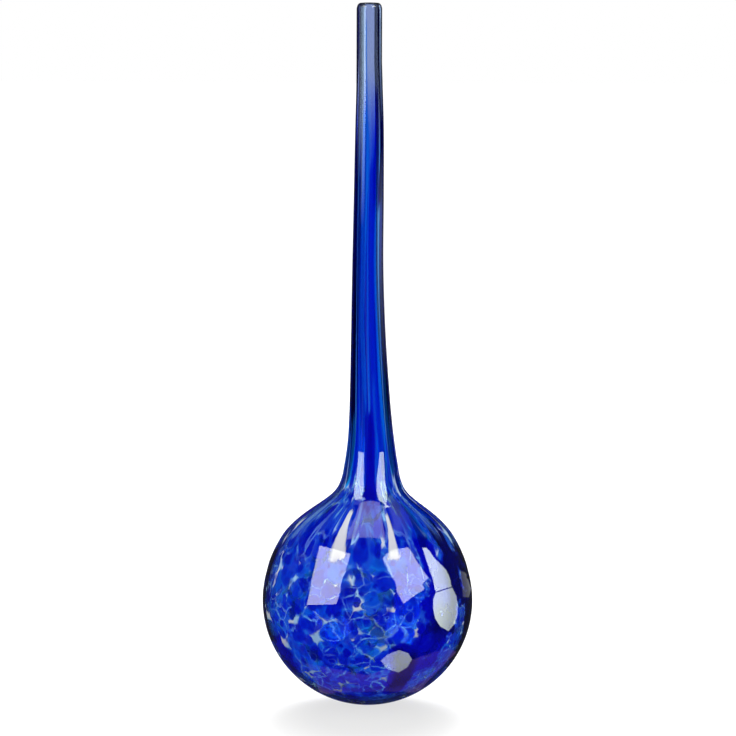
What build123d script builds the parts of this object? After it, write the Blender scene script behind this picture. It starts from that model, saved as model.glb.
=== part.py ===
"""Watering globe: a hand-blown glass bulb with a long hollow stem that is open at its end.

The globe stands as it is shown, bulb down and stem up. The origin is the lowest point of the bulb,
+Z runs up the stem to the mouth, and all sizes are millimetres. The blower draws the stem out of the
bulb, so the clear wall is one continuous piece. The colour is loose glass grain that was picked up
hot. On the bulb it lies as flat chips, side by side and flush in the outside of the wall, and on the
neck and stem the same chips are drawn out into long streaks, which end below the clear tip.
"""

from build123d import *

import math
import os
import random
from bisect import bisect
from itertools import accumulate

# Bulb
bulb_radius = 45.0
bulb_wall = 1.8

# Shoulder, neck and stem
total_height = 300.0
shoulder_height = 56.0
neck_root_height = 96.0
neck_root_radius = 13.1
neck_lean = 1.35
tip_straight_length = 25.0

# Mouth
mouth_radius = 5.4
bore_radius = 3.25
lip_outer_round = 1.3
lip_inner_round = 0.7

# Chips of colour on the bulb
colour_depth = 0.6
chip_pitch = 16.0
chip_seam = 0.6
chip_corner_round = 1.8
chip_top_height = 84.0
chip_jitter_share = 0.5
grain_seed = 11

# Streaks of colour up the neck and stem
streak_count = 13
streak_seam = 0.6
streak_start_height = 85.0
streak_start_spread = 6.0
streak_end_height = 238.0
streak_end_spread = 26.0
streak_jitter_share = 0.4

# How much of the grain each colour is
colour_shares = {"cobalt": 0.50, "azure": 0.34, "opal": 0.16}

# Overrun of every cutting solid past the face it cuts
overrun = 2.0

# Outline from the shoulder to the root of the neck, and from there to the straight tip, bottom up:
# shares of the height climbed, of the radius that is still to be lost, and of the sideways lean
shoulder_outline_shares = (
    (0.140, 0.960, 0.00),
    (0.312, 0.853, 0.04),
    (0.482, 0.711, 0.12),
    (0.610, 0.543, 0.28),
    (0.695, 0.405, 0.42),
    (0.781, 0.249, 0.58),
    (0.868, 0.110, 0.76),
    (0.930, 0.045, 0.88),
    (1.000, 0.000, 0.94),
)
stem_outline_shares = (
    (0.045, 0.773, 1.00),
    (0.095, 0.610, 0.96),
    (0.162, 0.468, 0.70),
    (0.246, 0.370, 0.38),
    (0.358, 0.253, 0.00),
    (0.497, 0.166, -0.22),
    (0.693, 0.123, 0.02),
    (0.860, 0.078, 0.16),
    (0.939, 0.029, 0.12),
    (1.000, 0.000, 0.00),
)

straight_tip_height = total_height - tip_straight_length
stem_wall = mouth_radius - bore_radius
bulb_centre = Vector(0, 0, bulb_radius)


def ball_radius_at(height, inset=0.0):
    """Radius of the round bulb, made smaller all over by inset, at a height above its base."""
    return math.sqrt((bulb_radius - inset) ** 2 - (height - bulb_radius) ** 2)


def outline_stations():
    """Height, radius and sideways lean of the outside, from the shoulder to the straight tip."""
    shoulder_radius = ball_radius_at(shoulder_height)
    stations = [(shoulder_height, shoulder_radius, 0.0)]
    for climbed, radius_left, lean in shoulder_outline_shares:
        height = shoulder_height + climbed * (neck_root_height - shoulder_height)
        radius = neck_root_radius + radius_left * (shoulder_radius - neck_root_radius)
        stations.append((height, radius, lean * neck_lean))
    for climbed, radius_left, lean in stem_outline_shares:
        height = neck_root_height + climbed * (straight_tip_height - neck_root_height)
        radius = mouth_radius + radius_left * (neck_root_radius - mouth_radius)
        stations.append((height, radius, lean * neck_lean))
    return stations


def inset_stations(at_bulb, at_tip):
    """The stations moved into the wall, square to it, by an amount that changes along the stem."""
    stations = outline_stations()
    moved = [(shoulder_height, ball_radius_at(shoulder_height, at_bulb), 0.0)]
    for below, here, above in zip(stations, stations[1:], stations[2:]):
        height, radius, lean = here
        climbed = (height - shoulder_height) / (straight_tip_height - shoulder_height)
        inset = at_bulb + (at_tip - at_bulb) * climbed
        climb, narrowing = above[0] - below[0], below[1] - above[1]
        slant = math.hypot(climb, narrowing)
        moved.append((height - inset * narrowing / slant, radius - inset * climb / slant, lean))
    return moved + [(straight_tip_height, mouth_radius - at_tip, 0.0)]


def drawn_form(stations):
    """Solid through a level circle at each station."""
    return loft([Pos(lean, 0, height) * Circle(radius) for height, radius, lean in stations])


def blown_form(at_bulb=0.0, at_tip=0.0, past_mouth=0.0):
    """Solid bulb, neck and tip, made smaller by one amount at the bulb and another at the tip."""
    ball = Pos(bulb_centre) * Sphere(bulb_radius - at_bulb)
    bulb = split(ball, Plane.XY.offset(shoulder_height), keep=Keep.BOTTOM)
    stations = inset_stations(at_bulb, at_tip)
    neck_root = len(shoulder_outline_shares)
    shoulder = drawn_form(stations[:neck_root + 1])
    stem = drawn_form(stations[neck_root:])
    tip_length = tip_straight_length + past_mouth
    tip = extrude(Pos(0, 0, straight_tip_height) * Circle(mouth_radius - at_tip), tip_length)
    return bulb + shoulder + stem + tip


def melted_wall():
    """The clear wall before any colour: outside less cavity, with the mouth melted round."""
    outside = blown_form()
    outside = fillet(outside.edges().sort_by(Axis.Z)[-1], lip_outer_round)
    wall = outside - blown_form(bulb_wall, stem_wall, overrun)
    mouth_edges = wall.edges().group_by(Axis.Z)[-1]
    return fillet(mouth_edges.sort_by(SortBy.RADIUS)[0], lip_inner_round)


def dealt_colours(count, dice):
    """A colour for each of so many grains, in mixed order, as many of each as its share gives."""
    names = list(colour_shares)
    limits = list(accumulate(colour_shares.values()))
    colours = [names[bisect(limits, (i + 1 / 2) / count)] for i in range(count)]
    dice.shuffle(colours)
    return colours


def grain_directions(dice):
    """Where grains lie, as directions from the centre of the bulb: a shaken spiral from the base up."""
    count = round(4 * math.pi * bulb_radius**2 / chip_pitch**2)
    golden_angle = math.pi * (3 - math.sqrt(5))
    shake = chip_jitter_share * chip_pitch / bulb_radius / 2
    directions = [Vector(0, 0, -1)]
    for i in range(1, count):
        rise = 2 * i / count - 1
        reach = math.sqrt(1 - rise**2)
        even = Vector(reach * math.cos(i * golden_angle), reach * math.sin(i * golden_angle), rise)
        nudge = Vector(dice.uniform(-1, 1), dice.uniform(-1, 1), dice.uniform(-1, 1))
        directions.append((even + nudge * shake).normalized())
    return directions


def clipped(outline, a, b, c):
    """The part of a convex outline where a + b * u + c * v is not negative."""
    kept = []
    for (u0, v0), (u1, v1) in zip(outline, outline[1:] + outline[:1]):
        side0 = a + b * u0 + c * v0
        side1 = a + b * u1 + c * v1
        if side0 >= 0:
            kept.append((u0, v0))
        if side0 * side1 < 0:
            way = side0 / (side0 - side1)
            kept.append((u0 + way * (u1 - u0), v0 + way * (v1 - v0)))
    return kept


def square_outline(reach):
    """Corners of a square that reaches this far each way from the middle."""
    return [(-reach, -reach), (reach, -reach), (reach, reach), (-reach, reach)]


def chip_cutter(grain, grains):
    """Prism through the wall over the ground that is nearer to one grain than to any other."""
    foot_distance = math.sqrt((bulb_radius - colour_depth) ** 2 - (chip_pitch / 2) ** 2)
    plane = Plane(origin=bulb_centre + grain * foot_distance, z_dir=grain)
    outline = square_outline(chip_pitch)
    back_off = chip_seam / 2 + chip_corner_round
    for other in grains:
        apart = grain - other
        if apart.length > 0:
            a, b, c = foot_distance * grain.dot(apart), plane.x_dir.dot(apart), plane.y_dir.dot(apart)
            outline = clipped(outline, a - back_off * math.hypot(b, c), b, c)
    outline = offset(make_face(Polyline(*outline, close=True)), chip_corner_round, kind=Kind.ARC)
    return extrude(plane.offset(-overrun) * outline, bulb_radius - foot_distance + 2 * overrun)


def chip_solids(bed, dice):
    """Every chip of colour on the bulb, as pairs of a colour and a solid."""
    grains = grain_directions(dice)
    made = []
    for grain, colour in zip(grains, dealt_colours(len(grains), dice)):
        if bulb_radius + grain.Z * bulb_radius < chip_top_height - colour_depth:
            made += [(colour, chip) for chip in (bed & chip_cutter(grain, grains)).solids()]
    return made


def strip_outline(start_turn, end_turn):
    """Corners of the wedge between two turns about the stem, drawn in by half a seam on each side."""
    outline = square_outline(bulb_radius)
    for turn, side in ((start_turn, 1), (end_turn, -1)):
        angle = 2 * math.pi * turn
        outline = clipped(outline, -streak_seam / 2, -side * math.sin(angle), side * math.cos(angle))
    return outline


def streak_pockets(core, dice):
    """The hollow that each streak fills in the wall of the neck and stem, open to the outside."""
    turns = [(i + streak_jitter_share * dice.uniform(-1, 1) / 2) / streak_count for i in range(streak_count)]
    pockets = []
    for start_turn, end_turn in zip(turns, turns[1:] + [turns[0] + 1]):
        strip = make_face(Polyline(*strip_outline(start_turn, end_turn), close=True))
        bottom = streak_start_height + streak_start_spread * dice.random()
        top = streak_end_height + streak_end_spread * dice.random()
        pockets.append(extrude(Pos(0, 0, bottom) * strip, top - bottom) - core)
    return pockets


def assembly():
    """Every node of the globe by name."""
    dice = random.Random(grain_seed)
    outside = blown_form()
    core = blown_form(colour_depth, colour_depth)
    chip_bed = split(outside - core, Plane.XY.offset(chip_top_height), keep=Keep.BOTTOM)
    chips = chip_solids(chip_bed, dice)
    vessel = melted_wall() - chip_bed
    streaks = []
    for pocket, colour in zip(streak_pockets(core, dice), dealt_colours(streak_count, dice)):
        vessel -= pocket
        streaks += [(colour, streak) for streak in (outside & pocket).solids()]
    nodes = {"clear_glass_vessel": vessel}
    for kind, pieces in (("chips", chips), ("streaks", streaks)):
        for name in colour_shares:
            nodes[f"{name}_{kind}"] = Compound(children=[solid for colour, solid in pieces if colour == name])
    return nodes


os.makedirs("parts", exist_ok=True)
for node_name, node in assembly().items():
    export_step(node, f"parts/{node_name}.step")
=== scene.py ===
"""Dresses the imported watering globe: its blown glass wall, the colour in it, and a white studio.

Every length is in metres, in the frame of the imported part: the bulb's lowest point is the origin
and the stem runs up +Z to its open mouth. The glass is one closed mesh, outside and hollow both.
Its colour is worked out at the place where each bit of glass lay before the blower drew out the
neck, so that the round chips on the bulb turn into long streaks on the stem, as they do on the
real globe.
"""

import math

import bmesh
import bpy
import numpy as np
from mathutils import Matrix, Vector


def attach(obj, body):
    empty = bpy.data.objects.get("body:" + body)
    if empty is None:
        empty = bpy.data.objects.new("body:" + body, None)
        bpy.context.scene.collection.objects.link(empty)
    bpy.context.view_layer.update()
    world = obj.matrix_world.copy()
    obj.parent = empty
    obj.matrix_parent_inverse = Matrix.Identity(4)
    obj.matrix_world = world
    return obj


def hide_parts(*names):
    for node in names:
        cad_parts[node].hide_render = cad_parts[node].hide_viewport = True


bl_info = {
    "name": "Watering Globe",
    "version": (1, 0, 0),
    "blender": (4, 5, 0),
    "location": "3D View > Sidebar > Watering Globe",
    "description": "Builds the looks of a blown glass watering globe round its packed part",
    "category": "Object",
}

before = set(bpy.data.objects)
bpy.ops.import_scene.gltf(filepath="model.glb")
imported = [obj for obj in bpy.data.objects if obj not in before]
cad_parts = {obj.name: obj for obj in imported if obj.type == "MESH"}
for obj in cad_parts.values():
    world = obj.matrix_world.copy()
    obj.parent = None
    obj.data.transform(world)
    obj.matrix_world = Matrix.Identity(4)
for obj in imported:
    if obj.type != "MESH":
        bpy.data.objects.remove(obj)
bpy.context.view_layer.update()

MM = 0.001

# Outline of the outside above the round bulb, in millimetres: height, radius and sideways lean
NECK_OUTLINE = (
    (56.0, 43.62, 0.00),
    (61.6, 42.14, 0.00),
    (68.5, 39.15, 0.05),
    (75.3, 34.80, 0.16),
    (80.4, 29.70, 0.38),
    (83.8, 25.40, 0.57),
    (87.2, 20.70, 0.78),
    (90.7, 16.45, 1.02),
    (93.2, 14.40, 1.18),
    (96.0, 13.10, 1.27),
    (104.0, 11.36, 1.35),
    (113.0, 10.06, 1.30),
    (125.0, 9.02, 0.95),
    (140.0, 8.20, 0.51),
    (160.0, 7.35, 0.00),
    (185.0, 6.68, -0.30),
    (220.0, 6.35, 0.03),
    (250.0, 6.00, 0.22),
    (264.0, 5.62, 0.16),
    (275.0, 5.40, 0.00),
)

# Points on the wall's outline before it is cut to even steps, and on the two rounds of the lip
BALL_POINTS = 400
NECK_POINTS = 1600
OUTER_LIP_POINTS = 14
INNER_LIP_POINTS = 6

# How the neck was drawn out. Above the bulb's middle, a step of the wall was once lower. It had
# only a share of its height: its radius, as a share of FULL_WIDTH of the bulb's, to the power
# DRAWN_POWER, and never less than LEAST_DRAWN. The neck's narrowing fades out between the two
# radii of NARROWED
FULL_WIDTH = 0.98
DRAWN_POWER = 3.4
LEAST_DRAWN = 0.025
NARROWED = (8 * MM, 22 * MM)

# Slow waves of the hand-blown wall: how fast each runs along x, y and z in each WAVE_SPAN, its
# phase and its share. They fade over the last WAVES_FADE of height below WAVES_END
WAVES = (
    (2.1, 1.3, 1.7, 0.4, 1.0),
    (-1.6, 2.6, 1.1, 2.0, 1.0),
    (3.3, -2.9, 2.3, 4.1, 0.5),
    (2.7, 4.4, -3.8, 1.2, 0.5),
)
WAVE_SPAN = 45 * MM
WAVES_END = 95 * MM
WAVES_FADE = 30 * MM

# Streaks drawn out by hand, and patches of painted shade: navy where the camera sees the edges
# of the bulb, stem and tip, and dark blue under the mirrored windows. Each row gives tint,
# azimuth and half width in degrees (0 faces the camera, right is positive), lowest and highest
# point in millimetres, and how strongly it covers
STREAKS_AND_SHADE = (
    ("royal", -112, 22, 98, 262, 0.80),
    ("cobalt", 108, 16, 98, 258, 0.85),
    ("azure", 132, 12, 92, 262, 0.80),
    ("royal", 160, 17, 96, 250, 0.85),
    ("azure", 186, 9, 100, 268, 0.80),
    ("cobalt", 212, 16, 94, 246, 0.85),
    ("azure", 232, 8, 98, 256, 0.75),
    # Painted shade: navy over the stem's left edge, as the camera sees it
    ("shade_navy", -66, 26, 104, 262, 0.90),
    ("azure", -47, 7, 92, 128, 0.70),
    ("azure", -18, 15, 120, 270, 0.85),
    ("royal", 10, 13, 100, 252, 0.90),
    ("azure", 32, 8, 92, 250, 0.80),
    # Painted shade: navy over the stem's right edge, as the camera sees it
    ("shade_navy", 68, 25, 100, 258, 0.85),
    ("azure", 52, 6, 92, 150, 0.60),
    ("cobalt", -2, 13, 83, 132, 0.95),
    ("azure", 15, 7, 96, 146, 0.75),
    ("sky", -33, 4, 80, 104, 0.60),
    ("sky", 27, 3, 82, 100, 0.60),
    ("sky", 58, 4, 72, 100, 0.55),
    ("sky", -62, 5, 70, 102, 0.50),
    ("sky", 118, 4, 70, 98, 0.60),
    ("sky", -140, 4, 72, 104, 0.60),
    ("sky", 171, 5, 70, 100, 0.55),
    # Painted shade: dark blue under where the window cards are mirrored on the bulb's right, so
    # their reflections read even
    ("cobalt", 40, 17, 14, 60, 0.75),
    ("cobalt", 21, 12, 6, 36, 0.80),
    ("shade_navy", 50, 12, 30, 70, 0.95),
    ("cobalt", 41, 15, 44, 80, 1.0),
    ("shade_navy", 63, 9, 42, 84, 0.75),
    # Painted shade: navy over the bulb's right edge, as the camera sees it
    ("shade_navy", 78, 15, 12, 78, 0.90),
    # Painted shade: navy under where the low window card is mirrored
    ("shade_navy", 21, 8, 8, 32, 0.95),
    ("cobalt", -60, 9, 12, 36, 0.80),
    ("sky", -11, 2.6, 73, 92, 0.90),
    # Painted shade: navy over the bulb's left edge, as the camera sees it
    ("shade_navy", -80, 12, 22, 74, 0.75),
    ("azure", -12, 6, 214, 308, 0.55),
    ("cobalt", 30, 13, 206, 274, 0.60),
    # Painted shade: navy over the right and left edges of the clear tip, as the camera sees them
    ("shade_navy", 58, 26, 206, 308, 1.00),
    ("shade_navy", -78, 30, 206, 312, 1.00),
    ("opal", -18.0, 6.2, 65, 90, 1.0),
    ("opal", 17.0, 4.2, 66, 88, 1.0),
    ("opal", 142, 4.2, 58, 90, 1.0),
    ("opal", -102, 4.0, 60, 86, 1.0),
)

# How a streak sways: by so many degrees, over so many millimetres of height, and how far the next
# streak's sway is shifted. A streak narrower than FULL_SWAY degrees sways less
SWAYS = ((2.5, 21, 2.4), (1.2, 8, 1.7))
FULL_SWAY = 8
# Its middling width and the swing of it, as shares of its half width, and then as for a sway
WIDTH_SWING = (0.8, 0.25, 27, 1.3)
# An opal streak's width at its foot, and what it loses up to its top, as shares
OPAL_TAPER = (1.1, 0.7)
# Where its sides fade, in half widths, and how much of its length each end takes to fade
STREAK_SIDES = (0.55, 1.15)
STREAK_ENDS = 0.22

# Throws of grain over the hot glass: width of a chip in grain sizes, where its pattern is taken
# from in millimetres, least and most reach of a chip and softness of its edge in chip widths, and
# the two tints that its chips lie between
THROWS = (
    (1.00, (3, 1, 7), 0.64, 0.94, 0.18, "azure", "royal"),
    (1.00, (31, 17, 5), 0.40, 0.76, 0.20, "azure", "royal"),
    (0.90, (57, 43, 29), 0.34, 0.74, 0.22, "royal", "cobalt"),
    (0.55, (83, 11, 61), 0.20, 0.56, 0.18, "royal", "cobalt"),
)
CHIP_COVER = 0.92

# Heights over which the bulb turns into the stem, and the stem's colour into its clear tip
STEM_RISE = (86 * MM, 112 * MM)
TIP_RISE = (232 * MM, 277 * MM)

# Size and reach of the ripples that make each chip's outline uneven
RIPPLE_SIZE = 7 * MM
RIPPLE_REACH = 2.2 * MM

# Where a gap turns from milky to hazy in its cloud, and how far the stem is azure under its
# streaks
HAZE = (0.42, 0.60)
STEM_AZURE = 0.9

# The pale rim of a chip: where it rises and falls on the chip's mask, where a cloud of RIM_CLOUD
# chip widths lets it show, and how strong it is on the bulb and on the stem
RIM_RISE = (0.02, 0.30)
RIM_FALL = (0.25, 0.60)
RIM_CLOUD = 2
RIM_SHOWS = (0.54, 0.64)
RIM_STRENGTH = (0.7, 0.2)

# The pale seams between chips: their cell in grain sizes, where their edge fades in cells, the
# cloud that lets them show in grain sizes, where it does, how strong they are, and how much of
# that is left on the stem
SEAM_CELL = 1.05
SEAM_EDGE = (0.015, 0.06)
SEAM_CLOUD = 1.6
SEAM_SHOWS = (0.47, 0.58)
SEAM_STRENGTH = 0.90
SEAM_ON_STEM = 0.25

# How a streak's edge is torn: size, detail and reach of the tears, where the torn cover lets it
# show, and the cover under which it fades whatever the tears are
TEAR_SIZE = 5 * MM
TEAR_DETAIL = 4.0
TEAR_REACH = 2.2
STREAK_SHOWS = (0.30, 0.62)
STREAK_HEM = 0.10

# How milky the glass is in a gap and under a chip, and the share of that which is left at the tip
MILK_IN_GAP = 0.85
MILK_UNDER_CHIP = 0.16
MILK_AT_TIP = 0.20
GLASS_IOR = 1.5
OUTER_ROUGHNESS = 0.02

# Finishes of the reflector cards: tint, which strength of the studio's they share, how much of
# it, and whether only the side that faces the stem glows
FINISHES = {
    "white_card": ((1.0, 1.0, 0.8), "card_strength", 1.0, False),
    "dim_card": ((1.0, 0.9, 0.8), "card_strength", 0.3, False),
    "window_card": ((0.88, 1.0, 0.87), "window_strength", 1.0, False),
    "low_window_card": ((0.90, 1.0, 0.90), "window_strength", 0.45, False),
    "far_window_card": ((0.95, 0.97, 1.0), "window_strength", 0.10, False),
    "purple_card": ((0.80, 0.45, 1.0), "card_strength", 0.10, False),
    "neck_strip": ((0.90, 1.0, 0.70), "card_strength", 1.5, True),
    "tip_strip": ((0.50, 0.74, 1.0), "card_strength", 1.0, True),
    "edge_strip": ((0.50, 0.62, 1.0), "card_strength", 0.18, True),
}

# Far reflector cards: finish, distance as a share of the card distance, and corners, each set by
# where the bulb mirrors it to the camera, in millimetres right and up of the bulb's middle, as if
# the bulb were round all over
CARDS = {
    "left_card": ("white_card", 1.0, ((-20.8, 20.4), (-7.5, 15.8), (-13.1, -2.0), (-25.8, -2.4))),
    "right_card": ("white_card", 1.0, ((6.6, 14.4), (15.8, 21.2), (26.4, 6.4), (15.1, -1.6))),
    "window_upper": ("window_card", 1.0, (
        (23.8, 18.6), (25.6, 18.4), (30.0, 14.0), (33.8, 10.6), (35.9, 5.8),
        (28.9, 3.5), (27.2, 8.7), (25.3, 14.0),
    )),
    "window_lower": ("window_card", 1.0, (
        (28.8, 3.0), (36.1, 5.3), (37.9, 1.6), (38.6, -2.6), (38.3, -6.9), (37.1, -10.2),
        (34.5, -13.2), (31.0, -11.2), (28.8, -7.9), (27.9, -4.0), (27.9, 0.2),
    )),
    "low_window": ("low_window_card", 1.0, (
        (5.6, -25.7), (8.8, -23.0), (13.4, -21.2), (17.4, -22.6),
        (19.0, -25.2), (17.0, -28.6), (13.4, -30.8), (8.6, -29.4),
    )),
    "purple_floor": ("purple_card", 1.1, (
        (-26.0, -27.0), (0.0, -32.0), (34.0, -20.0), (38.0, -22.0), (22.0, -38.5), (-20.0, -39.5),
    )),
    "back_card": ("far_window_card", 1.0, (
        (40.0, 9.5), (43.0, 9.0), (44.3, 4.8), (43.3, 1.2), (40.8, 1.2),
    )),
}
# Each edge of a far card is cut this often, so that it bends as the bulb needs. A card glows
# fully where the way from the bulb to it turns to the camera, and falls to EDGE_GLOW over
# EDGE_TURN where it turns away
CARD_CUTS = 5
EDGE_GLOW = 0.32
EDGE_TURN = (-0.45, 0.2)

# A small card that lies over the shoulder, in millimetres: its height, and its corners right and
# back of the axis
SHOULDER_CARD_HEIGHT = 92.0
SHOULDER_CARD = ((-4.0, -17.1), (5.6, -17.0), (11.9, -36.7), (-14.8, -35.5))

# Narrow cards that are bent round the stem, seen only in its gloss: finish, radius in
# millimetres, then rows of height in millimetres, first and last azimuth in degrees, and how
# brightly that row glows. The flags are black, and keep the far cards off the stem
STRIPS = {
    "neck_left": ("neck_strip", 20.0, ((95.2, -41, -14.5, 1.0), (111, -44, -22, 0.8))),
    "neck_right": ("neck_strip", 20.0, ((95.4, 13, 41, 1.0), (111, 33, 48, 0.8))),
    "tip_left": ("tip_strip", 60.0, (
        (202, -61, -34, 0.0), (259, -61, -32, 1.0), (330, -61, -32, 1.0),
    )),
    "tip_band": ("tip_strip", 60.0, (
        (222, -81, -61, 0.0), (259, -81, -61, 0.45), (330, -81, -61, 0.45),
    )),
    "tip_right": ("tip_strip", 60.0, (
        (247, 100, 125, 0.0), (282, 100, 125, 0.4), (330, 100, 125, 0.4),
    )),
    "stem_right": ("edge_strip", 60.0, (
        (137, 64, 121, 0.0), (187, 64, 121, 0.9), (209, 64, 121, 0.9), (235, 64, 121, 0.0),
    )),
    "tip_edge": ("edge_strip", 60.0, (
        (222, -106, -81, 0.0), (259, -106, -81, 0.8), (330, -106, -81, 0.8),
    )),
    "flag_left": ("edge_strip", 62.0, ((106, -118, -27, 0.0), (330, -118, -27, 0.0))),
    "flag_right": ("edge_strip", 62.0, ((106, 27, 137, 0.0), (330, 27, 137, 0.0))),
    "flag_low": ("edge_strip", 62.0, ((99, 58, 137, 0.0), (110, 58, 137, 0.0))),
}
STRIP_POINTS = 12

# The white floor: half its side and its paint, and the painted shadow under the bulb, a dimmer spot
# in the camera's white glow: its middle, how much a step right, back or up counts, the radii over
# which it fades, and how bright its middle is
FLOOR_HALF = 4.0
FLOOR_PAINT = (0.12, 0.12, 0.12)
PAINTED_SHADOW_MIDDLE = (0.0, -0.030, 0.0)
PAINTED_SHADOW_SHAPE = (1.0, 0.62, 0.0)
PAINTED_SHADOW_RADII = (18 * MM, 66 * MM)
PAINTED_SHADOW_LEVEL = 0.71

# The softbox behind the globe that lays its shadow forward: size, place and the point it aims at
SOFTBOX_SIZE = (0.5, 0.4)
SOFTBOX_PLACE = (0.03, 1.0, 0.80)
SOFTBOX_AIM = (0.0, 0.0, 0.03)

# The bright field behind the globe, seen only through its clear glass
FIELD_BACK = 1.5
FIELD_HALF_WIDTH = 0.38
FIELD_HALF_HEIGHT = 0.55

SENSOR_WIDTH = 36.0
WHITE = (1.0, 1.0, 1.0)


def length(name, description, default):
    """A size in metres that the sidebar shows."""
    return bpy.props.FloatProperty(
        name=name, description=description, default=default, min=0.0, unit="LENGTH", precision=5
    )


def angle(name, description, degrees):
    """An angle that the sidebar shows."""
    return bpy.props.FloatProperty(
        name=name, description=description, default=math.radians(degrees), subtype="ANGLE"
    )


def colour(name, description, default):
    """A colour that the sidebar shows."""
    return bpy.props.FloatVectorProperty(
        name=name, description=description, default=default, size=3, min=0.0, max=1.0,
        subtype="COLOR",
    )


def amount(name, description, default, most=1.0):
    """A plain number that the sidebar shows."""
    return bpy.props.FloatProperty(
        name=name, description=description, default=default, min=0.0, max=most
    )


class GlobeSizes(bpy.types.PropertyGroup):
    """Sizes of the blown wall"""

    total_height: length("Height", "From the lowest point of the bulb to the mouth", 300 * MM)
    bulb_radius: length("Bulb Radius", "Outside radius of the round bulb", 45 * MM)
    bulb_wall: length("Bulb Wall", "Thickness of the glass at the bulb", 1.8 * MM)
    bore_radius: length("Bore Radius", "Radius of the hole at the mouth", 3.25 * MM)
    lip_outer_round: length("Outer Lip Round", "Width of the mouth's melted outer edge", 1.7 * MM)
    lip_drop: length("Lip Drop", "How far down the tip that melted edge starts", 2.8 * MM)
    lip_inner_round: length("Inner Lip Round", "Radius of the mouth's inner edge", 0.4 * MM)
    waviness: length("Waviness", "How far the hand-blown wall strays from true round", 0.12 * MM)
    segments: bpy.props.IntProperty(
        name="Segments", description="Faces in each ring of the wall", default=192, min=24, max=512
    )
    ring_step: length("Ring Step", "Distance between rings of the wall", 1.1 * MM)


class GlassColours(bpy.types.PropertyGroup):
    """Colours of the glass and of the grain melted into it"""

    # Painted shade: navy darkens the edges the camera sees, and the glass under the mirrored
    # windows
    shade_navy: colour("Navy", "Nearly black streaks up the stem", (0.001, 0.003, 0.160))
    cobalt: colour("Cobalt", "Deep blue grain", (0.001, 0.004, 0.600))
    royal: colour("Royal", "Bright royal blue grain", (0.002, 0.064, 0.820))
    azure: colour("Azure", "Lighter blue grain", (0.012, 0.320, 0.920))
    sky: colour("Sky", "Pale blue haze between the grains", (0.420, 0.700, 0.970))
    opal: colour("Opal", "Milky glass in the gaps", (0.800, 0.800, 0.820))
    tip: colour("Tip", "Clear glass of the stem's end", (0.500, 0.575, 0.800))
    hollow: colour("Hollow", "Bare glass of the hollow's wall", (0.970, 0.980, 1.000))
    grain_size: length("Grain Size", "Width of a chip of colour on the bulb", 8 * MM)
    neck_narrowing: length(
        "Neck Narrowing", "How far the hot glass drew in before the stem was pulled", 14 * MM
    )


class StudioLook(bpy.types.PropertyGroup):
    """Camera and light of the studio"""

    elevation: angle("Camera Elevation", "How far the camera looks down", 7)
    roll: angle("Camera Roll", "How far the camera is turned about its view", 0.19)
    distance: length("Camera Distance", "From the camera to what it aims at", 2.17)
    view_width: length("View Width", "Width that the picture shows at that distance", 313.1 * MM)
    aim_height: length("Aim Height", "Height on the axis that the camera aims at", 144.8 * MM)
    aim_right: bpy.props.FloatProperty(
        name="Aim Right", description="How far the camera aims to the right of the axis",
        default=-0.1 * MM, unit="LENGTH", precision=5,
    )
    card_distance: length("Card Distance", "From the bulb's middle to each far card", 4.0)
    card_strength: amount("Card Strength", "Brightness of the white cards", 8.6, 50.0)
    window_strength: amount("Window Strength", "Brightness of the right window", 13.8, 50.0)
    softbox_power: amount("Softbox Power", "Watts of the lamp that lays the shadow", 45.0, 500.0)
    daylight: amount("Daylight", "Brightness of the white room on paint and milky glass", 1.12, 5.0)
    room_in_gloss: amount("Room in Gloss", "Brightness of the room where gloss mirrors it", 0.03)
    room_through_glass: amount("Room Through Glass", "Its brightness behind clear glass", 0.14)


def eased(value, start, end):
    """0 before start, 1 past end, and a smooth rise in between."""
    t = np.clip((value - start) / (end - start), 0, 1)
    return t * t * (3 - 2 * t)


def smooth_curve(stations, at, first_slope=0.0):
    """Values of a smooth curve through stations of (place, value), at many places."""
    x = np.array([s[0] for s in stations], float)
    y = np.array([s[1] for s in stations], float)
    slopes = np.gradient(y, x)
    slopes[0] = first_slope
    i = np.clip(np.searchsorted(x, at) - 1, 0, len(x) - 2)
    h = x[i + 1] - x[i]
    t = (at - x[i]) / h
    return (
        (2 * t**3 - 3 * t**2 + 1) * y[i]
        + (t**3 - 2 * t**2 + t) * h * slopes[i]
        + (3 * t**2 - 2 * t**3) * y[i + 1]
        + (t**3 - t**2) * h * slopes[i + 1]
    )


def even_steps(points, step):
    """The same line of points, at even steps along its length."""
    strides = np.linalg.norm(np.diff(points[:, :2], axis=0), axis=1)
    along = np.concatenate([[0], np.cumsum(strides)])
    places = np.linspace(0, along[-1], max(2, round(along[-1] / step) + 1))
    return np.column_stack([np.interp(places, along, column) for column in points.T])


def outside_line(sizes):
    """Outside of the wall from its lowest point up to the lip: rows of radius, height and lean."""
    first_height = NECK_OUTLINE[0][0] * MM
    turn = np.linspace(-math.pi / 2, math.asin(first_height / sizes.bulb_radius - 1), BALL_POINTS)
    ball = np.column_stack([
        sizes.bulb_radius * np.cos(turn),
        sizes.bulb_radius * (1 + np.sin(turn)),
        np.zeros(len(turn)),
    ])
    height = np.linspace(first_height, NECK_OUTLINE[-1][0] * MM, NECK_POINTS)[1:]
    ball_slope = -math.tan(turn[-1])
    radius = smooth_curve([(z * MM, r * MM) for z, r, _ in NECK_OUTLINE], height, ball_slope)
    lean = smooth_curve([(z * MM, x * MM) for z, _, x in NECK_OUTLINE], height)
    lip_height = sizes.total_height - sizes.lip_drop
    tip = np.array([(radius[-1], lip_height, 0.0)])
    return np.vstack([ball, np.column_stack([radius, height, lean]), tip])


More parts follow.
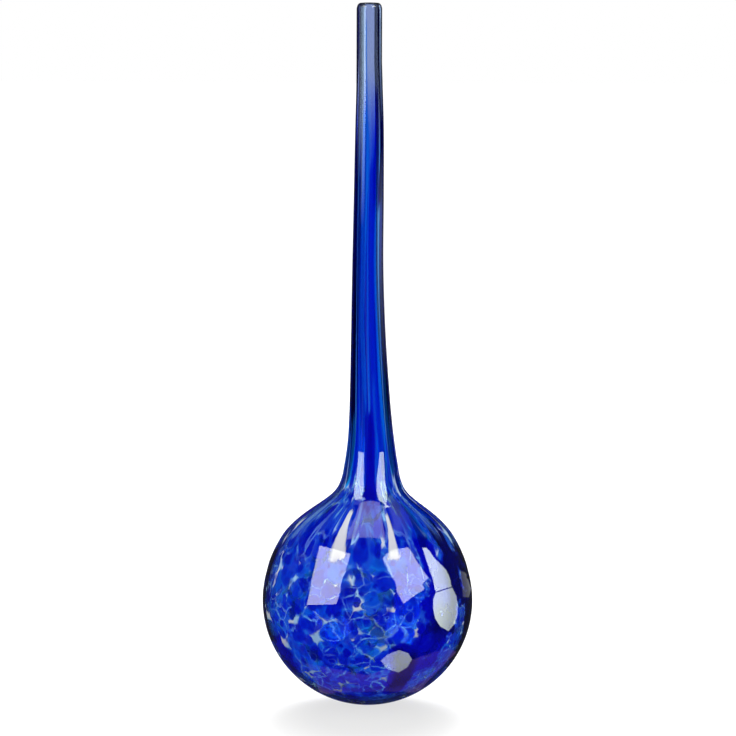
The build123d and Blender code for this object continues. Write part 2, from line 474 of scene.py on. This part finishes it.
def hollow_line(outside, sizes):
    """Inside of the wall, top down, a wall's thickness square in from the outside."""
    tip_radius = outside[-1, 0]
    along = np.gradient(outside[:, :2], axis=0)
    along /= np.linalg.norm(along, axis=1)[:, None]
    neck_start, neck_end = NECK_OUTLINE[0][0] * MM, NECK_OUTLINE[-1][0] * MM
    climbed = np.clip((outside[:, 1] - neck_start) / (neck_end - neck_start), 0, 1)
    thick = sizes.bulb_wall + (tip_radius - sizes.bore_radius - sizes.bulb_wall) * climbed
    inside = outside.copy()
    inside[:, 0] = np.maximum(outside[:, 0] - thick * along[:, 1], 0)
    inside[:, 1] = outside[:, 1] + thick * along[:, 0]
    inside[0] = (0, thick[0], 0)
    inside[-1, 1] = sizes.total_height - sizes.lip_inner_round
    return inside[::-1]


def lip_line(outside, sizes):
    """Rounded lip over the top of the wall, from outside to bore."""
    top, bore = sizes.total_height, sizes.bore_radius
    outer, drop, inner = sizes.lip_outer_round, sizes.lip_drop, sizes.lip_inner_round
    radius = outside[-1, 0]
    up = [
        (radius - outer + outer * math.cos(a), top - drop + drop * math.sin(a), 0.0)
        for a in np.linspace(0, math.pi / 2, OUTER_LIP_POINTS)[1:]
    ]
    down = [
        (bore + inner - inner * math.sin(a), top - inner + inner * math.cos(a), 0.0)
        for a in np.linspace(0, math.pi / 2, INNER_LIP_POINTS)[:-1]
    ]
    return np.array(up + down)


def grain_ground(line, sizes, colours):
    """Radius and height on the undrawn glass for each ring: where its grain lay at first."""
    radius, height = line[:, 0], line[:, 1]
    full = FULL_WIDTH * sizes.bulb_radius
    below_middle = height < sizes.bulb_radius
    drawn = np.clip((radius / full) ** DRAWN_POWER, LEAST_DRAWN, 1.0)
    steps = np.diff(height, prepend=height[0])
    lain = np.cumsum(steps * np.where(below_middle, 1.0, drawn))
    # The ring that the neck came from keeps more of its radius than the neck, so that streaks
    # stay narrow
    spread = (sizes.bulb_radius**5 - radius**5) / (5 * full**4)
    ring = sizes.bulb_radius - spread - colours.neck_narrowing * (1 - eased(radius, *NARROWED))
    return np.where(below_middle, radius, ring), lain


def turned_points(radius, height, lean, turn):
    """Points of a line turned about the axis, with a single point at each of its ends."""
    x = radius[1:-1, None] * np.cos(turn) + lean[1:-1, None]
    y = radius[1:-1, None] * np.sin(turn)
    z = np.repeat(height[1:-1, None], len(turn), axis=1)
    rings = np.stack([x, y, z], axis=2).reshape(-1, 3)
    return np.vstack([[(0, 0, height[0])], rings, [(0, 0, height[-1])]])


def ring_mesh(name, line, ground, segments):
    """Closed mesh turned from a line that ends on the axis, with its grain ground noted."""
    turn = np.linspace(0, 2 * math.pi, segments, endpoint=False)
    points = turned_points(line[:, 0], line[:, 1], line[:, 2], turn)
    around = [(i, (i + 1) % segments) for i in range(segments)]
    last_ring, last = 1 + (len(line) - 3) * segments, len(points) - 1
    faces = [
        (low + i, low + j, low + segments + j, low + segments + i)
        for low in range(1, last_ring, segments) for i, j in around
    ]
    faces += [(0, 1 + j, 1 + i) for i, j in around]
    faces += [(last_ring + i, last_ring + j, last) for i, j in around]
    mesh = bpy.data.meshes.new(name)
    mesh.from_pydata(points.tolist(), [], faces)
    places = turned_points(*ground, np.zeros(len(line)), turn)
    first_places = mesh.attributes.new("grain_ground", "FLOAT_VECTOR", "POINT")
    first_places.data.foreach_set("vector", places.ravel())
    return mesh


def hand_waviness(points, amplitude):
    """How far each point strays outward or inward: slow waves, as hand-blown glass has."""
    x, y, z = points.T / WAVE_SPAN
    wave = sum(
        share * np.sin(along_x * x + along_y * y + along_z * z + phase)
        for along_x, along_y, along_z, phase, share in WAVES
    )
    return amplitude * wave / sum(share for *_, share in WAVES)


def streak_cover(streak, number, azimuth, height):
    """How far one streak covers each place on the outside."""
    name, middle, half_width, low, high, strength = streak
    sway = sum(reach * np.sin(height / rise + shift * number) for reach, rise, shift in SWAYS)
    middling, swing, rise, shift = WIDTH_SWING
    wide = half_width * (middling + swing * np.sin(height / rise + shift * number))
    if name == "opal":
        foot, lost = OPAL_TAPER
        wide = half_width * (foot - lost * np.clip((height - low) / (high - low), 0, 1))
    strayed = azimuth - middle - sway * min(1.0, half_width / FULL_SWAY)
    off = np.abs((strayed + 180) % 360 - 180)
    full_side, bare_side = STREAK_SIDES
    ends = STREAK_ENDS * (high - low)
    cover = strength * (1 - eased(off, full_side * wide, bare_side * wide))
    return cover * eased(height, low, low + ends) * (1 - eased(height, high - ends, high))


def paint_streaks_and_shade(mesh, points, lean, colours):
    """Lays the streaks and the painted shade over the outside as a tint with its cover, and notes
    how milky they are.
    """
    azimuth = np.degrees(np.arctan2(points[:, 0] - lean, -points[:, 1]))
    height = points[:, 2] / MM
    tint = np.zeros((len(points), 4))
    milky = np.zeros(len(points))
    for number, streak in enumerate(STREAKS_AND_SHADE):
        name = streak[0]
        cover = streak_cover(streak, number, azimuth, height)
        share = cover / np.maximum(cover + tint[:, 3] * (1 - cover), 1e-6)
        tint[:, :3] += (np.array(getattr(colours, name)) - tint[:, :3]) * share[:, None]
        tint[:, 3] += cover * (1 - tint[:, 3])
        milky = milky * (1 - cover) + cover * (name == "opal")
    tints = mesh.attributes.new("streak_and_shade_tint", "FLOAT_COLOR", "POINT")
    tints.data.foreach_set("color", tint.ravel())
    milk = mesh.attributes.new("streak_milk", "FLOAT", "POINT")
    milk.data.foreach_set("value", milky)


def waved(points, sizes):
    """The wall's points strayed inward by the waviness, and set down again on the ground."""
    from_middle = points - np.array([0, 0, sizes.bulb_radius])
    outward = from_middle / np.maximum(np.linalg.norm(from_middle, axis=1), MM)[:, None]
    near_bulb = np.clip((WAVES_END - points[:, 2]) / WAVES_FADE, 0, 1)
    shift = (hand_waviness(points, sizes.waviness) - sizes.waviness) * near_bulb
    moved = points + outward * shift[:, None]
    moved[:, 2] -= moved[:, 2].min()
    return moved


def blown_wall_mesh(sizes, colours):
    """Outside, lip and hollow in one closed mesh. Slot 0 is the outside, slot 1 the hollow."""
    fine = outside_line(sizes)
    outside = even_steps(fine, sizes.ring_step)
    lip = lip_line(outside, sizes)
    hollow = even_steps(hollow_line(fine, sizes), sizes.ring_step)
    line = np.vstack([outside, lip, hollow])
    over = grain_ground(outside, sizes, colours)
    under = grain_ground(hollow[::-1], sizes, colours)
    ground = [
        np.concatenate([out, np.full(len(lip), out[-1]), back[::-1]])
        for out, back in zip(over, under)
    ]
    mesh = ring_mesh("blown_glass_wall", line, ground, sizes.segments)

    points = np.zeros(len(mesh.vertices) * 3)
    mesh.vertices.foreach_get("co", points)
    points = points.reshape(-1, 3)
    lean = np.concatenate([[0], np.repeat(line[1:-1, 2], sizes.segments), [0]])
    paint_streaks_and_shade(mesh, points, lean, colours)
    mesh.vertices.foreach_set("co", waved(points, sizes).ravel())

    slots = np.zeros(len(mesh.polygons), int)
    hollow_start = (len(outside) + len(lip) - 2) * sizes.segments
    slots[hollow_start:(len(line) - 3) * sizes.segments] = 1
    slots[-sizes.segments:] = 1
    mesh.polygons.foreach_set("material_index", slots)
    mesh.polygons.foreach_set("use_smooth", np.ones(len(mesh.polygons), bool))
    mesh.update()
    return mesh


def node(tree, kind, links=None, **settings):
    """A shader node with its settings, and its sockets set to values or linked to other sockets."""
    made = tree.nodes.new(kind)
    for name, value in settings.items():
        setattr(made, name, value)
    for name, value in (links or {}).items():
        if isinstance(value, bpy.types.NodeSocket):
            tree.links.new(value, made.inputs[name])
        else:
            made.inputs[name].default_value = value
    return made


def maths(tree, operation, *terms):
    """Output of a Math node."""
    return node(tree, "ShaderNodeMath", dict(enumerate(terms)), operation=operation).outputs[0]


def times(tree, *terms):
    """Product of two or more terms."""
    product = terms[0]
    for term in terms[1:]:
        product = maths(tree, "MULTIPLY", product, term)
    return product


def vector_maths(tree, operation, *terms):
    """First output of a Vector Math node."""
    links = dict(enumerate(terms))
    return node(tree, "ShaderNodeVectorMath", links, operation=operation).outputs[0]


def mixed(tree, factor, first, second, blend="MIX"):
    """Output of a colour Mix node."""
    links = {0: factor, 6: first, 7: second}
    return node(tree, "ShaderNodeMix", links, data_type="RGBA", blend_type=blend).outputs[2]


def ramp(tree, value, span, low=0.0, high=1.0):
    """A value eased from low to high while the given one goes over a span."""
    return node(
        tree, "ShaderNodeMapRange",
        {"Value": value, "From Min": span[0], "From Max": span[1], "To Min": low, "To Max": high},
        interpolation_type="SMOOTHSTEP",
    ).outputs[0]


def noise(tree, place, size, detail=2.0, output="Fac"):
    """Output of a cloudy noise with features of a size."""
    links = {"Vector": place, "Scale": 1 / size, "Detail": detail}
    return node(tree, "ShaderNodeTexNoise", links).outputs[output]


def attribute(tree, name, output="Fac"):
    """Output of a mesh attribute."""
    return node(tree, "ShaderNodeAttribute", attribute_name=name).outputs[output]


def opaque(rgb):
    """A colour with full alpha, as sockets take it."""
    return (*rgb, 1.0)


def fresh_material(name):
    """A material with an empty node tree, and its output node."""
    material = bpy.data.materials.new(name)
    material.use_nodes = True
    material.node_tree.nodes.clear()
    output = material.node_tree.nodes.new("ShaderNodeOutputMaterial")
    return material, material.node_tree, output


def rippled(tree, place, size, reach):
    """The same place, strayed by up to a reach in cloudy waves."""
    cloud = noise(tree, place, size, output="Color")
    stray = vector_maths(tree, "SUBTRACT", cloud, (0.5, 0.5, 0.5))
    scaled = node(tree, "ShaderNodeVectorMath", {0: stray, "Scale": 2 * reach}, operation="SCALE")
    return vector_maths(tree, "ADD", place, scaled.outputs[0])


def chip_layer(tree, place, size, least, most, softness):
    """Mask of one throw of round chips over the glass, and a random number for each chip."""
    cells = node(tree, "ShaderNodeTexVoronoi", {"Vector": place, "Scale": 1 / size})
    dice = node(tree, "ShaderNodeSeparateColor", {"Color": cells.outputs["Color"]})
    reach = node(
        tree, "ShaderNodeMapRange", {"Value": dice.outputs[0], "To Min": least, "To Max": most}
    ).outputs[0]
    inner = maths(tree, "SUBTRACT", reach, softness)
    mask = ramp(tree, cells.outputs["Distance"], (inner, reach), 1.0, 0.0)
    return mask, dice.outputs[1]


def grain_over(tree, glass, place, on_stem, colours):
    """Lays each throw of chips over the glass, with pale rims, and says how far chips cover it."""
    covered = None
    rim_strength = ramp(tree, on_stem, (0.0, 1.0), *RIM_STRENGTH)
    for share, offset, least, most, softness, light, dark in THROWS:
        size = colours.grain_size
        moved = vector_maths(tree, "ADD", place, tuple(part * MM for part in offset))
        mask, pick = chip_layer(tree, moved, size * share, least, most, softness)
        tint = mixed(tree, pick, opaque(getattr(colours, light)), opaque(getattr(colours, dark)))
        rim = times(
            tree, ramp(tree, mask, RIM_RISE), ramp(tree, mask, RIM_FALL, 1.0, 0.0),
            ramp(tree, noise(tree, moved, RIM_CLOUD * size), RIM_SHOWS),
        )
        glass = mixed(tree, times(tree, mask, CHIP_COVER), glass, tint)
        glass = mixed(tree, times(tree, rim, rim_strength), glass, opaque(colours.sky))
        covered = mask if covered is None else maths(tree, "MAXIMUM", covered, mask)
    return glass, covered


def seams_over(tree, glass, place, on_stem, colours):
    """Lays pale seams over the glass where chips meet."""
    size = colours.grain_size
    cells = node(
        tree, "ShaderNodeTexVoronoi", {"Vector": place, "Scale": 1 / (SEAM_CELL * size)},
        feature="DISTANCE_TO_EDGE",
    )
    seam = times(
        tree, ramp(tree, cells.outputs["Distance"], SEAM_EDGE, 1.0, 0.0),
        ramp(tree, noise(tree, place, SEAM_CLOUD * size), SEAM_SHOWS, 0.0, SEAM_STRENGTH),
        ramp(tree, on_stem, (0.0, 1.0), 1.0, SEAM_ON_STEM),
    )
    return mixed(tree, seam, glass, opaque(colours.sky))


def streaks_and_shade_over(tree, glass, ground):
    """Lays the drawn streaks and the painted shade over the glass, and says where they are milky.
    """
    streak = node(tree, "ShaderNodeAttribute", attribute_name="streak_and_shade_tint").outputs
    torn = maths(tree, "SUBTRACT", noise(tree, ground, TEAR_SIZE, TEAR_DETAIL), 0.5)
    torn_alpha = maths(tree, "ADD", streak["Alpha"], times(tree, torn, TEAR_REACH))
    hem = ramp(tree, streak["Alpha"], (0.0, STREAK_HEM))
    cover = times(tree, ramp(tree, torn_alpha, STREAK_SHOWS), hem)
    milky = times(tree, attribute(tree, "streak_milk"), cover)
    return mixed(tree, cover, glass, streak["Color"]), milky


def coloured_glass(colours):
    """Glass with blue grain melted into it: round chips on the bulb, streaks up the stem."""
    material, tree, output = fresh_material("cobalt_grain_glass")
    ground = attribute(tree, "grain_ground", "Vector")
    place = rippled(tree, ground, RIPPLE_SIZE, RIPPLE_REACH)
    spot = node(tree, "ShaderNodeTexCoord").outputs["Object"]
    height = node(tree, "ShaderNodeSeparateXYZ", {0: spot}).outputs[2]
    on_stem = ramp(tree, height, STEM_RISE)
    bare = ramp(tree, height, TIP_RISE)

    haze = ramp(tree, noise(tree, place, colours.grain_size), HAZE)
    gap = mixed(tree, haze, opaque(colours.opal), opaque(colours.sky))
    glass = mixed(tree, times(tree, on_stem, STEM_AZURE), gap, opaque(colours.azure))
    glass, covered = grain_over(tree, glass, place, on_stem, colours)
    glass = seams_over(tree, glass, place, on_stem, colours)
    glass = mixed(tree, bare, glass, opaque(colours.tip))
    # Drawn streaks, with navy painted shade on the edges the camera sees and under the mirrored
    # windows
    glass, milky_streak = streaks_and_shade_over(tree, glass, ground)
    covered = times(tree, covered, maths(tree, "SUBTRACT", 1.0, milky_streak))

    # The shader gives each face of a wall half of its colour. The hollow's face is bare, so the
    # outside takes its colour twice
    seen_through = mixed(tree, 1.0, glass, glass, "MULTIPLY")
    gloss = {"Roughness": OUTER_ROUGHNESS, "IOR": GLASS_IOR}
    clear = node(
        tree, "ShaderNodeBsdfPrincipled",
        {"Base Color": seen_through, "Transmission Weight": 1.0, **gloss},
    )
    milky = node(tree, "ShaderNodeBsdfPrincipled", {"Base Color": glass, **gloss})
    milk = times(
        tree, ramp(tree, covered, (0.0, 1.0), MILK_IN_GAP, MILK_UNDER_CHIP),
        ramp(tree, bare, (0.0, 1.0), 1.0, MILK_AT_TIP),
    )
    both = node(tree, "ShaderNodeMixShader", {0: milk, 1: clear.outputs[0], 2: milky.outputs[0]})
    tree.links.new(both.outputs[0], output.inputs["Surface"])
    return material


def hollow_glass(colours):
    """Bare glass of the hollow's wall."""
    material, tree, output = fresh_material("clear_hollow_glass")
    shader = node(
        tree, "ShaderNodeBsdfPrincipled",
        {
            "Base Color": opaque(colours.hollow), "Roughness": 0.0, "IOR": GLASS_IOR,
            "Transmission Weight": 1.0,
        },
    )
    tree.links.new(shader.outputs[0], output.inputs["Surface"])
    return material


def placed(name, data):
    """An object of a mesh, lamp or camera, in the scene."""
    piece = bpy.data.objects.new(name, data)
    bpy.context.scene.collection.objects.link(piece)
    return piece


class GLOBE_OT_blow_wall(bpy.types.Operator):
    """Blow the glass wall with its colour"""

    bl_idname = "globe.blow_wall"
    bl_label = "Blow Glass Wall"

    def execute(self, context):
        sizes, colours = context.scene.globe_sizes, context.scene.globe_colours
        wall = placed("blown_glass_wall", blown_wall_mesh(sizes, colours))
        wall.data.materials.append(coloured_glass(colours))
        wall.data.materials.append(hollow_glass(colours))
        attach(wall, "root")
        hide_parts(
            "clear_glass_vessel", "cobalt_chips", "azure_chips", "opal_chips",
            "cobalt_streaks", "azure_streaks", "opal_streaks",
        )
        return {"FINISHED"}


def camera_pose(look):
    """Place of the camera, and its right, up and towards as directions in the scene."""
    towards = Vector((0, -math.cos(look.elevation), math.sin(look.elevation)))
    roll = Matrix.Rotation(look.roll, 3, towards)
    right = roll @ Vector((1, 0, 0))
    up = towards.cross(right)
    target = Vector((0, 0, look.aim_height)) + right * look.aim_right
    return target + towards * look.distance, (right, up, towards)


def bulb_view_axes(look, middle):
    """Right, up and towards of the line from the middle of the bulb to the camera."""
    place, _ = camera_pose(look)
    towards = (place - middle).normalized()
    right = Vector((0, 0, 1)).cross(towards).normalized()
    return right, towards.cross(right), towards


def mirrored_way(spot):
    """Where a ball mirrors the view to, at a spot right and up of its middle in its radii."""
    facing = math.sqrt(1 - spot.length_squared)
    return Vector((2 * facing * spot.x, 2 * facing * spot.y, 2 * facing * facing - 1))


def set_glow(mesh, glow):
    """Notes how brightly a card glows at each of its points."""
    mesh.attributes.new("glow", "FLOAT", "POINT").data.foreach_set("value", glow)


def flat_mesh(name, corners):
    """One flat face that glows all over."""
    mesh = bpy.data.meshes.new(name)
    mesh.from_pydata(corners, [], [tuple(range(len(corners)))])
    set_glow(mesh, [1.0] * len(corners))
    return mesh


def mirrored_card(name, corners, sizes, look, away):
    """A far card whose outline looks straight where the bulb mirrors it."""
    middle = Vector((0, 0, sizes.bulb_radius))
    right, up, towards = bulb_view_axes(look, middle)
    card = bmesh.new()
    card.faces.new([card.verts.new((x * MM, y * MM, 0)) for x, y in corners])
    bmesh.ops.triangulate(card, faces=card.faces[:])
    bmesh.ops.subdivide_edges(card, edges=card.edges[:], cuts=CARD_CUTS, use_grid_fill=True)
    glow = []
    for point in card.verts:
        way = mirrored_way(point.co.xy / sizes.bulb_radius)
        point.co = middle + away * (right * way.x + up * way.y + towards * way.z)
        glow.append(EDGE_GLOW + (1 - EDGE_GLOW) * float(eased(way.z, *EDGE_TURN)))
    mesh = bpy.data.meshes.new(name)
    card.to_mesh(mesh)
    card.free()
    set_glow(mesh, glow)
    return mesh


def bent_strip(name, rows, radius):
    """A card bent round the stem, from rows of height, first and last azimuth and glow."""
    points, glow = [], []
    for height, first, last, shine in rows:
        for azimuth in np.radians(np.linspace(first, last, STRIP_POINTS)):
            points.append((radius * math.sin(azimuth), -radius * math.cos(azimuth), height * MM))
            glow.append(shine)
    faces = [
        (i, i + 1, i + STRIP_POINTS + 1, i + STRIP_POINTS)
        for start in range(0, (len(rows) - 1) * STRIP_POINTS, STRIP_POINTS)
        for i in range(start, start + STRIP_POINTS - 1)
    ]
    mesh = bpy.data.meshes.new(name)
    mesh.from_pydata(points, [], faces)
    set_glow(mesh, glow)
    return mesh


def card_material(name, tint, strength, inside_only=False):
    """Plain glow of a reflector card, or of only its side that faces the stem."""
    material, tree, output = fresh_material(name)
    glow = attribute(tree, "glow")
    if inside_only:
        glow = times(tree, glow, node(tree, "ShaderNodeNewGeometry").outputs["Backfacing"])
    shader = node(
        tree, "ShaderNodeEmission", {"Color": opaque(tint), "Strength": times(tree, glow, strength)}
    )
    tree.links.new(shader.outputs[0], output.inputs["Surface"])
    return material


def hide_from(piece, *rays):
    """Hides an object from these kinds of ray."""
    for ray in rays:
        setattr(piece, "visible_" + ray, False)


def hang_card(name, mesh, material, seen_through=False):
    """Puts a card in the studio, where gloss sees it, or what comes through the glass as well."""
    card = placed(name, mesh)
    mesh.materials.append(material)
    hide_from(card, "camera", "diffuse", "shadow")
    card.visible_transmission = seen_through


def hang_cards(sizes, look):
    """Hangs the reflector cards that the glass mirrors."""
    finishes = {
        name: card_material(name, tint, getattr(look, strength) * share, inside_only)
        for name, (tint, strength, share, inside_only) in FINISHES.items()
    }
    for name, (finish, away, corners) in CARDS.items():
        card = mirrored_card(name, corners, sizes, look, look.card_distance * away)
        hang_card(name, card, finishes[finish], seen_through=finish == "white_card")
    over_shoulder = [(x * MM, y * MM, SHOULDER_CARD_HEIGHT * MM) for x, y in SHOULDER_CARD]
    hang_card("shoulder_card", flat_mesh("shoulder_card", over_shoulder), finishes["dim_card"])
    for name, (finish, radius, rows) in STRIPS.items():
        hang_card(name, bent_strip(name, rows, radius * MM), finishes[finish])


def white_floor_material():
    """Pale paint that takes the shadow, and a white glow for the camera, dimmed under the bulb as a
    painted shadow.
    """
    material, tree, output = fresh_material("white_floor_and_painted_shadow")
    seen = node(tree, "ShaderNodeLightPath").outputs["Is Camera Ray"]
    spot = node(tree, "ShaderNodeTexCoord").outputs["Object"]
    spot = vector_maths(tree, "SUBTRACT", spot, PAINTED_SHADOW_MIDDLE)
    spot = vector_maths(tree, "MULTIPLY", spot, PAINTED_SHADOW_SHAPE)
    away = node(tree, "ShaderNodeVectorMath", {0: spot}, operation="LENGTH").outputs["Value"]
    # Painted shadow: the camera's white glow is dimmed in an ellipse under the bulb
    white = ramp(tree, away, PAINTED_SHADOW_RADII, PAINTED_SHADOW_LEVEL, 1.0)
    paint = node(tree, "ShaderNodeBsdfDiffuse", {"Color": opaque(FLOOR_PAINT)})
    glow = node(
        tree, "ShaderNodeEmission", {"Color": opaque(WHITE), "Strength": times(tree, seen, white)}
    )
    both = node(tree, "ShaderNodeAddShader", {0: paint.outputs[0], 1: glow.outputs[0]})
    tree.links.new(both.outputs[0], output.inputs["Surface"])
    return material


def lay_floor():
    """Lays the floor under the bulb."""
    half = FLOOR_HALF
    corners = [(-half, -half, 0), (half, -half, 0), (half, half, 0), (-half, half, 0)]
    floor = placed("studio_floor", flat_mesh("studio_floor", corners))
    floor.data.materials.append(white_floor_material())
    hide_from(floor, "glossy", "transmission")
    return floor


def white_room(look):
    """The world: white to the camera, even light on paint, faint in gloss and behind glass."""
    world = bpy.data.worlds.new("white_studio")
    world.use_nodes = True
    tree = world.node_tree
    tree.nodes.clear()
    path = node(tree, "ShaderNodeLightPath").outputs
    through = times(tree, path["Is Transmission Ray"], look.room_through_glass)
    seen = maths(tree, "MAXIMUM", path["Is Camera Ray"], through)
    lit = maths(tree, "MULTIPLY_ADD", path["Is Diffuse Ray"], look.daylight, look.room_in_gloss)
    strength = maths(tree, "MAXIMUM", seen, lit)
    backdrop = node(tree, "ShaderNodeBackground", {"Color": opaque(WHITE), "Strength": strength})
    output = node(tree, "ShaderNodeOutputWorld")
    tree.links.new(backdrop.outputs[0], output.inputs["Surface"])
    return world


def hang_softbox(look, floor):
    """A lamp behind the globe that lights only the floor, and so lays the globe's shadow on it."""
    softbox = bpy.data.lights.new("overhead_softbox", "AREA")
    softbox.shape, softbox.energy = "RECTANGLE", look.softbox_power
    softbox.size, softbox.size_y = SOFTBOX_SIZE
    lamp = placed("overhead_softbox", softbox)
    lamp.location = SOFTBOX_PLACE
    aim = Vector(SOFTBOX_AIM) - lamp.location
    lamp.rotation_euler = aim.to_track_quat("-Z", "Y").to_euler()
    hide_from(lamp, "glossy", "transmission")
    floor_only = bpy.data.collections.new("lit_by_softbox")
    floor_only.objects.link(floor)
    lamp.light_linking.receiver_collection = floor_only


def hang_bright_field():
    """A white field behind the globe, which only its clear glass shows."""
    wide, high = FIELD_HALF_WIDTH, FIELD_HALF_HEIGHT
    corners = [
        (-wide, FIELD_BACK, -high), (wide, FIELD_BACK, -high),
        (wide, FIELD_BACK, high), (-wide, FIELD_BACK, high),
    ]
    field = placed("bright_field", flat_mesh("bright_field", corners))
    field.data.materials.append(card_material("bright_field", WHITE, 1.0))
    hide_from(field, "camera", "diffuse", "glossy", "shadow")


def placed_camera(look):
    """The camera, where the photograph was taken from."""
    lens = bpy.data.cameras.new("photo_camera")
    lens.sensor_width = SENSOR_WIDTH
    lens.lens = lens.sensor_width * look.distance / look.view_width
    camera = placed("photo_camera", lens)
    place, axes = camera_pose(look)
    camera.matrix_world = Matrix.Translation(place) @ Matrix(axes).transposed().to_4x4()
    return camera


class GLOBE_OT_set_stage(bpy.types.Operator):
    """Hang the cards, lay the floor, light the studio and place the camera"""

    bl_idname = "globe.set_stage"
    bl_label = "Set Stage"

    def execute(self, context):
        scene = context.scene
        sizes, look = scene.globe_sizes, scene.globe_studio
        hang_cards(sizes, look)
        floor = lay_floor()
        scene.world = white_room(look)
        hang_softbox(look, floor)
        hang_bright_field()
        scene.camera = placed_camera(look)
        scene.view_settings.view_transform = "Standard"
        return {"FINISHED"}


class GLOBE_PT_sidebar(bpy.types.Panel):
    """The globe's own tab in the sidebar"""

    bl_idname = "GLOBE_PT_sidebar"
    bl_label = "Watering Globe"
    bl_space_type = "VIEW_3D"
    bl_region_type = "UI"
    bl_category = "Watering Globe"

    def draw(self, context):
        for group in GROUPS:
            box = self.layout.box()
            values = getattr(context.scene, group)
            for name in values.bl_rna.properties.keys():
                if name not in ("rna_type", "name"):
                    box.prop(values, name)
        for step in STEPS:
            self.layout.operator(step.bl_idname)


GROUPS = {"globe_sizes": GlobeSizes, "globe_colours": GlassColours, "globe_studio": StudioLook}
STEPS = (GLOBE_OT_blow_wall, GLOBE_OT_set_stage)
CLASSES = (*GROUPS.values(), *STEPS, GLOBE_PT_sidebar)


def register():
    """Adds the globe's classes and its values to Blender."""
    for made in CLASSES:
        bpy.utils.register_class(made)
    for name, group in GROUPS.items():
        setattr(bpy.types.Scene, name, bpy.props.PointerProperty(type=group))


def unregister():
    """Takes them away again."""
    for name in GROUPS:
        delattr(bpy.types.Scene, name)
    for made in reversed(CLASSES):
        bpy.utils.unregister_class(made)


def main():
    """Builds the globe and its studio."""
    register()
    bpy.ops.globe.blow_wall()
    bpy.ops.globe.set_stage()


if __name__ == "__main__":
    main()
